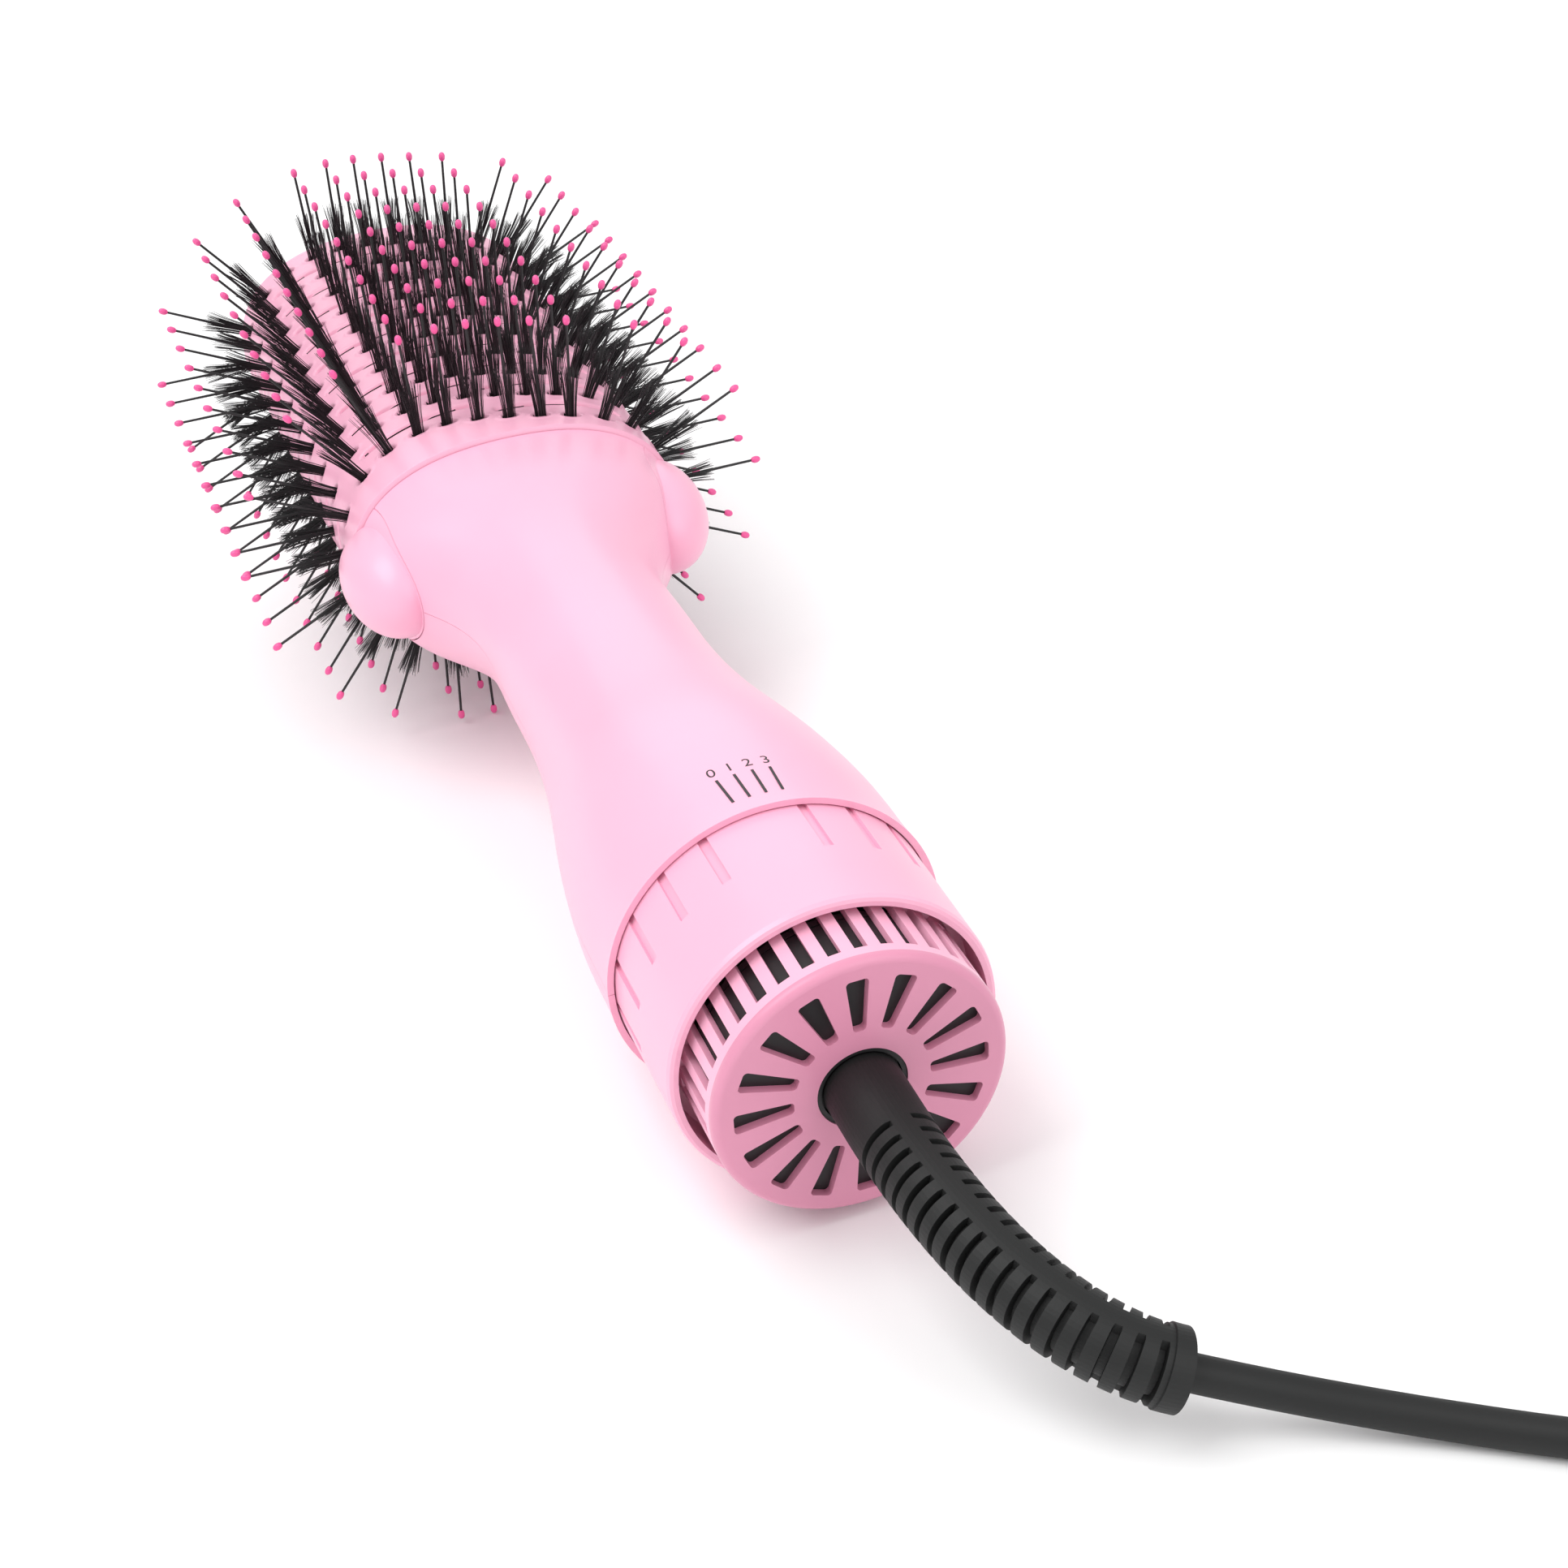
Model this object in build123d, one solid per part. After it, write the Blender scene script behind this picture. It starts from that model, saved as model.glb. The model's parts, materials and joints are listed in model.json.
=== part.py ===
from build123d import *
import math
import os

# ---------------------------------------------------------------------------
# Hot air brush. Millimetres.
# Everything on the brush is drawn in the tool frame: Y runs along the brush
# from the intake cap (y = 0) to the tip, X is across the wide face, +Z is up.
# place() then lays the brush on the table, on its switch ring and lower pins.
# The cord, coil and plug are drawn straight in the table frame.
# ---------------------------------------------------------------------------

# table frame
REST_TILT = 5.567           # the nose points up by this much, in degrees
REST_Y = -171.15            # shift that centres the brush over the origin
REST_Z = 29.535             # axis height above the table at the intake cap
AXIS = Axis.Y

# intake end
CAP_R = 27.4
CAP_T = 1.7
CAP_SKIRT = 1.93
CAP_EDGE = 1.5
HUB_R = 8.4
CAP_SLOTS = 16
CAP_SLOT_IN, CAP_SLOT_OUT = 12.6, 23.6
CAP_SLOT_ANGLE = 10.4
BASKET_FRONT = 44.0
BASKET_WALL = 1.4
BASKET_SLOTS = 36
BASKET_SLOT_W = 2.4
BASKET_SLOT_Y = (3.8, 17.0)

# switch ring
RING_R = 31.0
RING_Y = (12.4, 43.6)
RING_GAP_R = 29.15          # the rear of the ring stands off the basket
RING_BORE_CLEAR = 0.08
RING_PITCH = 18.0
SWITCH_STEP = 5.6           # off, 1, 2, 3
SWITCH_TRAVEL = 3 * SWITCH_STEP
LUG_Y = 36.5
SLEEVE_R = (24.35, 25.95)   # handle sleeve inside the basket
RING_GROOVE_W = 1.9
RING_GROOVE_D = 0.7
RING_GROOVE_Y = 28.9
WIDE_PANEL_AT = -5.4        # centre of the wide panel, degrees from the top

# handle
HANDLE_WALL = 2.2
LIP_BORE = 31.3             # the ring runs in under the handle's lip
SCREW_Y = (140.0, 160.0)
SCREW_SEAT_Z = -16.5
HANDLE_SECTIONS = [         # y, half width, half height, oval power
    (42.0, 32.55, 32.55, 2.0),
    (46.0, 32.3, 32.3, 2.0),
    (58.0, 32.1, 32.1, 2.0),
    (72.0, 30.9, 30.9, 2.0),
    (88.0, 28.3, 28.3, 2.0),
    (103.0, 25.2, 25.2, 2.0),
    (119.0, 22.8, 22.8, 2.0),
    (133.0, 21.8, 21.8, 2.0),
    (150.0, 21.5, 21.5, 2.0),
    (168.0, 21.5, 21.5, 2.0),
    (177.0, 23.6, 21.9, 2.05),
    (187.0, 28.6, 22.9, 2.15),
    (198.0, 34.8, 24.2, 2.25),
    (212.0, 38.0, 25.2, 2.3),
]
COLLAR_Y = HANDLE_SECTIONS[-1][0]
PANEL_AXES = (24.0, 15.0)   # side panel outline along Y and Z
PANEL_SEAM = 0.25
PARTING = 0.06
EAR_AT, EAR_AXES = (31.8, 206.0), (11.6, 18.0, 12.5)

# barrel
BARREL_Y = (212.4, 340.0)
BARREL_HALF = (39.0, 26.4)
OVAL_POWER = 2.3
OVAL_START = 98             # where the ovals' outlines begin, away from every cut
BARREL_WALL = 1.8
ENDCAP_T = 4.0

# bristle field: one entry per row from the middle of the wide face to its edge
ROW_X = [3.45, 10.3, 17.2, 25.0, 31.6, 37.3]
ROW_LEAN = [0.0, 0.0, 3.4, 23.5, 39.0, 64.0]
RINGS = 10
RING_STEP = 12.2
FIRST_RING = 221.5
WAVE = 4.0                  # the rings run round the barrel in a shallow wave
HOLE_R = 2.1
PIN_R = 0.35
PIN_OUT = 22.4
TIP_R, TIP_LEN = 0.85, 2.4
TUFT_OUT = 11.5
TUFT_R = (1.1, 2.2)
SLOT_W = 2.0
PLATE_T = 1.4
LINING_GAP = 0.05
LINING_Y = (215.6, 336.0)
TOP_PLATE_HALF = 21.0
SIDE_PLATE_FROM = 22.0

# heater
BRIDGE_Y = (205.5, 207.0)
BOARD_HALF, BOARD_LEN = 15.9, 105.0
LINER_R = (18.3, 18.7)
WIRE_R, WIRE_PITCH, WIRE_TURNS = 0.45, 8.0, 11

# blower
DUCT_Y = (66.0, 108.0)
DUCT_R = (19.9, 21.0)
MOTOR_R, MOTOR_Y = 13.4, (84.0, 110.0)
FAN_Y = (69.5, 81.0)
FAN_R, FAN_HUB_R, BLADES = 19.2, 7.0, 7
SHAFT_R = 1.0

# cord, in the table frame
CORD_D = 6.4
CORD_ROUTE = [
    (0.0, -179.11, 28.76),
    (0.0, -232.86, 23.52),
    (47.0, -249.5, 3.2),
    (94.4, -286.3, 3.2),
    (152.4, -301.8, 4.2),
]
RELIEF_R, RELIEF_LEN = 7.1, 74.0
COIL_AT = (163.95, -258.7)
COIL_R = (19.0, 47.8)
COIL_HEIGHT = 2 * CORD_D
TIE_T, TIE_WIDTH, TIE_ANGLE = 1.0, 6.0, 150
TAIL_Z, TAIL_LEN, PLUG_OFFSET = 10.6, 46.0, 35.5
PLUG = (24.0, 30.0, 14.0)
BLADE_LEN = 17.0


def place(shape):
    """Lay a tool-frame shape on the table."""
    return Pos(0, REST_Y, REST_Z) * Rot(REST_TILT, 0, 0) * shape


def turned(points):
    """Solid of revolution about the tool axis from (radius, y) corners."""
    face = make_face(Polyline(*points, close=True))
    return revolve(face, AXIS)


def tube(r_in, r_out, y0, y1):
    return turned([(r_in, y0), (r_out, y0), (r_out, y1), (r_in, y1)])


def disc(r, y0, y1):
    return turned([(0, y0), (r, y0), (r, y1), (0, y1)])


def oval_face(half_x, half_z, y, power=None):
    """Closed rounded-oval face square to the tool axis."""
    bend = 2 / (power or OVAL_POWER)
    points = []
    for t in range(OVAL_START, OVAL_START + 360, 15):
        c, s = math.cos(math.radians(t)), math.sin(math.radians(t))
        points.append((math.copysign(half_x * abs(c) ** bend, c), y, math.copysign(half_z * abs(s) ** bend, s)))
    return make_face(Spline(*points, periodic=True))


def oval_prism(half_x, half_z, y0, y1):
    return extrude(oval_face(half_x, half_z, y0), y1 - y0, dir=(0, 1, 0))


def barrel_z(x, inset=0.0):
    """Height of the barrel's upper surface at x."""
    half_x, half_z = BARREL_HALF[0] - inset, BARREL_HALF[1] - inset
    return half_z * (1 - (abs(x) / half_x) ** OVAL_POWER) ** (1 / OVAL_POWER)


# --- intake end -------------------------------------------------------------

def intake_cap():
    body = turned([(HUB_R, 0), (CAP_R, 0), (CAP_R, CAP_SKIRT), (CAP_R - 1.2, CAP_SKIRT), (CAP_R - 1.2, CAP_T), (HUB_R, CAP_T)])
    outer = body.edges().filter_by(GeomType.CIRCLE).sort_by(SortBy.RADIUS).group_by(Axis.Y)[0][-1]
    body = fillet(outer, CAP_EDGE)
    half_in = CAP_SLOT_IN * math.tan(math.radians(CAP_SLOT_ANGLE / 2))
    half_out = CAP_SLOT_OUT * math.tan(math.radians(CAP_SLOT_ANGLE / 2))
    outline = Polyline(
        (-half_in, CAP_SLOT_IN), (half_in, CAP_SLOT_IN), (half_out, CAP_SLOT_OUT), (-half_out, CAP_SLOT_OUT), close=True
    )
    slot = make_face(outline)
    slot = fillet(slot.vertices(), 0.8)
    cutter = extrude(Plane.XZ * slot, 3, both=True)
    return body - [Rot(0, step * 360 / CAP_SLOTS, 0) * cutter for step in range(CAP_SLOTS)]


def intake_basket():
    """Slotted tube; its front half is the sleeve the switch ring turns on."""
    wall_in = CAP_R - BASKET_WALL
    body = tube(wall_in, CAP_R, CAP_SKIRT, BASKET_FRONT)
    y0, y1 = BASKET_SLOT_Y
    cutter = Pos(0, (y0 + y1) / 2, CAP_R) * Box(BASKET_SLOT_W, y1 - y0, 8)
    body -= [Rot(0, (step + 0.5) * 360 / BASKET_SLOTS, 0) * cutter for step in range(BASKET_SLOTS)]
    window = Pos(0, LUG_Y, CAP_R) * Box(12.4, 7.4, 8)
    return body - Rot(0, 180 + SWITCH_TRAVEL / 2, 0) * window


def dust_filter():
    """Fine screen inside the basket, behind the cap's slots."""
    r = CAP_R - BASKET_WALL - 0.05
    hole = HUB_R + 1.6
    return turned([(hole, CAP_T), (r, CAP_T), (r, 13.8), (r - 0.5, 13.8), (r - 0.5, CAP_T + 0.5), (hole, CAP_T + 0.5)])


def swivel_bush():
    """Fixed seat for the cord swivel, standing in the cap's hub hole."""
    r = CAP_R - BASKET_WALL - 0.05
    seat = turned([(7.5, 0.3), (8.35, 0.3), (8.35, 14), (r, 14), (r, 15.5), (7.5, 15.5)])
    window = Pos(0, 14.7, 16.5) * Box(9, 4, 10)
    return seat - [Rot(0, step * 60, 0) * window for step in range(6)]


def swivel_hub():
    """Turning spool that carries the strain relief's root."""
    return turned([(5.6, 1.5), (7.42, 1.5), (7.42, 15.9), (10, 15.9), (10, 17.9), (5.6, 17.9)])


# --- switch ring ------------------------------------------------------------

def switch_ring():
    y0, y1 = RING_Y
    bore = CAP_R + RING_BORE_CLEAR
    body = turned([
        (RING_GAP_R, y0), (RING_R - 0.9, y0), (RING_R - 0.3, y0 + 0.3), (RING_R, y0 + 1.2), (RING_R, y1),
        (bore, y1), (bore, y0 + 9), (RING_GAP_R, y0 + 9),
    ])
    groove_len = RING_Y[1] - RING_GROOVE_Y + 1
    cutter = Pos(0, RING_GROOVE_Y + groove_len / 2, RING_R) * Box(RING_GROOVE_W, groove_len, 2 * RING_GROOVE_D)
    first = WIDE_PANEL_AT + RING_PITCH
    body -= [Rot(0, first + step * RING_PITCH, 0) * cutter for step in range(19)]
    lug = Pos(0, LUG_Y, -25.5) * Box(3.2, 4.0, 6.0)
    return body + lug


def switch_carrier():
    """Sector that the ring's lug pushes round inside the sleeve."""
    block = Pos(0, 41.0, -22.0) * Box(8, 13.0, 3.4)
    return block - Pos(0, LUG_Y, -24.0) * Box(3.24, 4.04, 3.1)


def switch_wiper():
    """Spring contact on the carrier's front face."""
    return Pos(0, 47.85, -21.6) * Box(3.2, 0.7, 2.4)


def contact_pads():
    """One fixed contact for each of the four switch positions."""
    pad = Pos(0, 48.48, 21.6) * Box(1.4, 0.44, 3.4)
    return Compound(children=[Rot(0, 180 + step * SWITCH_STEP, 0) * pad for step in range(4)])


def circuit_board():
    return tube(6.5, SLEEVE_R[0], 48.7, 50.3)


def board_capacitor():
    return Pos(-12, 56.8, 4) * Rot(90, 0, 0) * Cylinder(5.2, 13)


# --- handle -----------------------------------------------------------------

def handle_solid(inset, extra=0.0):
    """Filled handle and collar, drawn in by inset and longer by extra at both ends."""
    sections = []
    for y, half_x, half_z, power in HANDLE_SECTIONS:
        if y == HANDLE_SECTIONS[0][0]:
            y -= extra
        if y == HANDLE_SECTIONS[-1][0]:
            y += extra
        sections.append(oval_face(half_x - inset, half_z - inset, y, power))
    return loft(sections)


def panel_cutter(grow):
    """Side-view oval that parts the side panels from the half shells."""
    along, up = PANEL_AXES
    outline = Pos(COLLAR_Y, 0) * Ellipse(along + grow, up + grow)
    plane = Plane(origin=(0, 0, 0), x_dir=(0, 1, 0), z_dir=(1, 0, 0))
    return extrude(plane * outline, 60)


def ear():
    """Rounded bump on the side panel, cut square just behind the barrel rim."""
    x, y = EAR_AT
    bump = Pos(x, y, 0) * scale(Sphere(1), by=EAR_AXES)
    return bump - Pos(x, COLLAR_Y + 20, 0) * Box(60, 40, 60)


def handle_shells():
    outer = handle_solid(0)
    inner = handle_solid(HANDLE_WALL, 1.0)
    shell = outer - inner
    shell += tube(SLEEVE_R[0], SLEEVE_R[1], BASKET_FRONT - 2, BASKET_FRONT + 8)
    shell += tube(SLEEVE_R[0] + 0.5, 31.0, BASKET_FRONT, BASKET_FRONT + 2)
    shell -= disc(LIP_BORE, 40, RING_Y[1] + 0.3) - disc(SLEEVE_R[1], 40, 50)
    shell -= panel_cutter(PANEL_SEAM)
    shell -= mirror(panel_cutter(PANEL_SEAM), Plane.YZ)
    half_space = Pos(0, 150, 200 + PARTING) * Box(400, 400, 400)
    top = shell & half_space
    bottom = shell & mirror(half_space, Plane.XY)
    for y in SCREW_Y:
        top += Pos(0, y, 10.2) * Cylinder(3.4, 20.2)
        top -= Pos(0, y, 4) * Cylinder(1.3, 8)
        bottom += Pos(0, y, -10.2) * Cylinder(3.4, 20.2)
        bottom -= Pos(0, y, -10) * Cylinder(1.4, 30)
        bottom -= Pos(0, y, SCREW_SEAT_Z - 5) * Cylinder(2.5, 10)
    right = ((outer - inner) & panel_cutter(0)) + (ear() - inner)
    return top, bottom, right


# --- barrel -----------------------------------------------------------------

def rows():
    """Every bristle row as (x, z, lean, shift along the barrel)."""
    found = []
    last = len(ROW_X)
    for index, (x, lean) in enumerate(zip(ROW_X, ROW_LEAN)):
        place_in_wave = (index + 0.5) / (last - 0.5)
        shift = -WAVE * math.sin(math.pi * min(place_in_wave, 1.0))
        z = barrel_z(x)
        found.append((x, z, lean, shift))
        found.append((-x, z, -lean, -shift))
        found.append((-x, -z, lean + 180, shift))
        found.append((x, -z, 180 - lean, -shift))
    found.append((BARREL_HALF[0], 0.0, 90.0, 0.0))
    found.append((-BARREL_HALF[0], 0.0, -90.0, 0.0))
    return found


def stations():
    """Frames on the barrel surface, Z outward along the pin, one per hole."""
    frames = []
    for x, z, lean, shift in rows():
        for ring in range(RINGS):
            y = FIRST_RING + shift + ring * RING_STEP
            frames.append((lean % 360, Pos(x, y, z) * Rot(0, lean, 0)))
    return frames


def zone(lean):
    """Which bristle plate a row with this lean belongs to."""
    if lean < 20 or lean > 340:
        return "top"
    if 160 < lean < 200:
        return "bottom"
    return "right" if lean < 180 else "left"


def slot_cutters():
    """Air slots between the rings: two on each wide face, one on each side."""
    cutters = []
    for gap in range(RINGS - 1):
        y = FIRST_RING + (gap + 0.5) * RING_STEP
        for turn in (0, 180):
            right = Pos(15.5, y - 0.75 * WAVE, 24) * Rot(0, 0, -2) * Box(26.5, SLOT_W, 16)
            left = Pos(-15.5, y + 0.75 * WAVE, 24) * Rot(0, 0, -2) * Box(26.5, SLOT_W, 16)
            side = Pos(BARREL_HALF[0], y, 0) * Box(12, SLOT_W, 9)
            cutters += [Rot(0, turn, 0) * piece for piece in (right, left, side)]
    return cutters


def barrel_shell(frames, slots):
    half_x, half_z = BARREL_HALF
    wall = BARREL_WALL
    y0, y1 = BARREL_Y
    body = oval_prism(half_x, half_z, y0, y1) - oval_prism(half_x - wall, half_z - wall, y0 - 1, y1 + 1)
    hole = Cylinder(HOLE_R, 10)
    body -= [frame * hole for _, frame in frames]
    return body - slots


def zone_sheet(name, outside, thick):
    """Curved sheet lining one zone of the barrel, outside below its skin."""
    y0, y1 = LINING_Y
    half_x, half_z = BARREL_HALF[0] - outside, BARREL_HALF[1] - outside
    ring = oval_prism(half_x, half_z, y0, y1) - oval_prism(half_x - thick, half_z - thick, y0 - 1, y1 + 1)
    mid, long = (y0 + y1) / 2, y1 - y0 + 10
    keep = {
        "top": Pos(0, mid, 50) * Box(2 * TOP_PLATE_HALF, long, 100),
        "bottom": Pos(0, mid, -50) * Box(2 * TOP_PLATE_HALF, long, 100),
        "right": Pos(SIDE_PLATE_FROM + 50, mid, 0) * Box(100, long, 200),
        "left": Pos(-SIDE_PLATE_FROM - 50, mid, 0) * Box(100, long, 200),
    }
    return ring & keep[name]


def bristle_plate(name, frames, slots):
    """Backing plate with a flared tuft and a ball-tipped pin for each hole."""
    outside = BARREL_WALL + LINING_GAP
    plate = zone_sheet(name, outside, PLATE_T) - slots
    root = outside + PLATE_T / 2
    outline = [
        (0, -root), (TUFT_R[0], -root), (TUFT_R[1], TUFT_OUT), (PIN_R, TUFT_OUT), (PIN_R, PIN_OUT),
        (TIP_R, PIN_OUT + TIP_LEN * 0.4), (TIP_R * 0.7, PIN_OUT + TIP_LEN * 0.85), (0, PIN_OUT + TIP_LEN),
    ]
    bristle = revolve(Plane.XZ * make_face(Polyline(*outline, close=True)), Axis.Z)
    return plate + [frame * bristle for lean, frame in frames if zone(lean) == name]


def end_cap():
    """Cool tip: shallow domed cover with a spigot inside the barrel."""
    half_x, half_z = BARREL_HALF
    y1 = BARREL_Y[1]
    rim = oval_prism(half_x - 0.4, half_z - 0.4, y1 + 0.1, y1 + ENDCAP_T)
    rim = fillet(rim.faces().sort_by(Axis.Y)[-1].edges(), 2.4)
    inside = BARREL_WALL + 0.1
    spigot = oval_prism(half_x - inside, half_z - inside, y1 - 2.8, y1 + 0.1)
    hollow = oval_prism(half_x - inside - 1.5, half_z - inside - 1.5, y1 - 4, y1 + ENDCAP_T - 2)
    return rim + spigot - hollow


def barrel_flange():
    """Oval ring that joins the barrel to the collar from inside."""
    half_x, half_z = BARREL_HALF
    in_barrel = BARREL_WALL + 0.1
    in_collar = HANDLE_WALL + 2.2
    neck = oval_prism(half_x - in_collar, half_z - in_collar, BRIDGE_Y[1], COLLAR_Y)
    front = oval_prism(half_x - in_barrel, half_z - in_barrel, COLLAR_Y, COLLAR_Y + 3)
    return neck + front - oval_prism(half_x - 6.6, half_z - 6.6, COLLAR_Y - 8, COLLAR_Y + 4)


# --- heater -----------------------------------------------------------------

def heater_bridge():
    """Plate across the collar that carries the heater and both cut-outs."""
    y0, y1 = BRIDGE_Y
    plate = oval_prism(34.2, 22.2, y0, y1)
    windows = [Pos(side * 24, y0, 0) * Box(9, 8, 20) for side in (-1, 1)]
    return plate - windows - disc(6, y0 - 1, y1 + 1)


def heater_frame():
    """Two crossed mica boards on a round foot with air holes."""
    y0 = BRIDGE_Y[1]
    middle = y0 + BOARD_LEN / 2
    boards = Pos(0, middle, 0) * Box(1.0, BOARD_LEN, 2 * BOARD_HALF)
    boards += Pos(0, middle, 0) * Box(2 * BOARD_HALF, BOARD_LEN, 1.0)
    holes = [Rot(0, 45 + 90 * step, 0) * Pos(0, y0, 11) * Rot(90, 0, 0) * Cylinder(4.6, 8) for step in range(4)]
    return disc(LINER_R[0], y0, y0 + 1.2) - holes + boards


def heater_wire():
    """Resistance wire wound round the crossed boards."""
    r = BOARD_HALF + WIRE_R + 0.02
    coil = Helix(WIRE_PITCH, WIRE_PITCH * WIRE_TURNS, r)
    section = Plane(origin=coil @ 0, z_dir=coil % 0) * Circle(WIRE_R)
    return Pos(0, BRIDGE_Y[1] + 8, 0) * Rot(-90, 0, 0) * sweep(section, path=coil)


def heater_liner():
    """Thin sheet-metal tube round the heater."""
    return tube(LINER_R[0], LINER_R[1], BRIDGE_Y[1], 322)


def thermostat():
    return disc(5, BRIDGE_Y[0] - 6, BRIDGE_Y[0]).moved(Pos(0, 0, 12))


def thermal_fuse():
    return disc(2, BRIDGE_Y[0] - 7, BRIDGE_Y[0]).moved(Pos(0, 0, -12))


# --- blower -----------------------------------------------------------------

def blower_duct():
    """Tube with a front flange, four vanes and the motor's cradle."""
    y0, y1 = DUCT_Y
    body = tube(DUCT_R[0], DUCT_R[1], y0, y1)
    body += tube(DUCT_R[0], 29.0, y0, y0 + 1.6)
    body += tube(MOTOR_R + 0.05, MOTOR_R + 1.4, MOTOR_Y[0] + 2, y1 - 1)
    vane = Pos(0, (MOTOR_Y[0] + y1) / 2, (MOTOR_R + DUCT_R[0]) / 2 + 0.6) * Box(1.2, y1 - MOTOR_Y[0] - 4, 6.6)
    return body + [Rot(0, 45 + 90 * step, 0) * vane for step in range(4)]


def motor_can():
    return disc(MOTOR_R, *MOTOR_Y) - disc(SHAFT_R + 0.04, MOTOR_Y[0] - 1, MOTOR_Y[1] - 6)


def motor_shaft():
    return disc(SHAFT_R, FAN_Y[0] + 1, MOTOR_Y[1] - 8)


def impeller():
    y0, y1 = FAN_Y
    hub = turned([(SHAFT_R, y0 + 1), (FAN_HUB_R - 2, y0), (FAN_HUB_R, y0 + 2.5), (FAN_HUB_R, y1), (SHAFT_R, y1)])
    span = FAN_R - FAN_HUB_R + 1
    blade = Pos(0, (y0 + y1) / 2, FAN_HUB_R - 1 + span / 2) * Rot(0, 0, 38) * Box(1.3, 13, span)
    blades = [Rot(0, step * 360 / BLADES, 0) * blade for step in range(BLADES)]
    return (hub + blades) & tube(SHAFT_R, FAN_R, y0, y1)


# --- screws -----------------------------------------------------------------

def shell_screws():
    """Two screws that pull the half shells together along the grip."""
    shank = Pos(0, 0, (SCREW_SEAT_Z + 8) / 2) * Cylinder(1.3, 8 - SCREW_SEAT_Z)
    head = Pos(0, 0, SCREW_SEAT_Z - 0.8) * Cylinder(2.4, 1.6)
    return Compound(children=[Pos(0, y, 0) * (shank + head) for y in SCREW_Y])


# --- cord, in the table frame -----------------------------------------------

def cord_path():
    """Straight runs joined by tangent arcs, from the cap to the coil."""
    points = [Vector(*point) for point in CORD_ROUTE]
    radii = []
    for before, here, after in zip(points, points[1:], points[2:]):
        turn = math.radians((here - before).get_angle(after - here))
        shorter = min((here - before).length, (after - here).length)
        radii.append(0.45 * shorter / math.tan(turn / 2))
    print("cord radii", [round(radius, 1) for radius in radii])
    return FilletPolyline(*points, radius=radii)


def along(path, r, reach):
    """Round bar of radius r over the first part of a path."""
    part = path.trim(0, reach)
    section = Plane(origin=part @ 0, z_dir=part % 0) * Circle(r)
    return sweep(section, path=part)


def strain_relief(path):
    """Bending sleeve moulded on the start of the cord, rooted in the swivel hub."""
    sleeve = along(path, RELIEF_R, RELIEF_LEN / path.length)
    return sleeve + place(disc(5.3, -11, 14))


def cord_coil():
    """Outer shape of the coiled rest of the cord."""
    x, y = COIL_AT
    turns = Cylinder(COIL_R[1], COIL_HEIGHT) - Cylinder(COIL_R[0], COIL_HEIGHT)
    turns = fillet(turns.edges().filter_by(GeomType.CIRCLE), CORD_D * 0.4)
    return Pos(x, y, TIE_T + COIL_HEIGHT / 2) * turns


def coil_tie():
    """Flat strap round the coil's section."""
    x, y = COIL_AT
    middle = (COIL_R[0] + COIL_R[1]) / 2
    wide = COIL_R[1] - COIL_R[0] + 0.6
    loop = Box(wide + 2 * TIE_T, TIE_WIDTH, COIL_HEIGHT + 2 * TIE_T) - Box(wide, TIE_WIDTH, COIL_HEIGHT)
    return Pos(x, y, TIE_T + COIL_HEIGHT / 2) * Rot(0, 0, TIE_ANGLE) * Pos(middle, 0, 0) * loop


def plug_end():
    """Where the cord meets the plug."""
    x, y = COIL_AT
    return x + PLUG_OFFSET, y + TAIL_LEN


def cord_tail():
    """Short end of the cord between the coil and the plug, let into both."""
    x, y = COIL_AT
    plug_x, plug_y = plug_end()
    route = Line((x + COIL_R[1] - CORD_D / 2, y, TAIL_Z), (plug_x, plug_y, PLUG[2] / 2))
    section = Plane(origin=route @ 0, z_dir=route % 0) * Circle(CORD_D / 2)
    return sweep(section, path=route)


def plug_body():
    x, y = plug_end()
    wide, deep, high = PLUG
    block = Pos(x, y + deep / 2 - 1, high / 2) * Box(wide, deep, high)
    return fillet(block.edges().filter_by(Axis.Y), 3.0)


def plug_pins():
    """Two flat blades."""
    x, y = plug_end()
    front = y + PLUG[1] - 1
    blade = Box(1.5, BLADE_LEN, 6.3)
    return Compound(children=[Pos(x + side * 6.35, front + BLADE_LEN / 2, PLUG[2] / 2) * blade for side in (-1, 1)])


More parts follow.
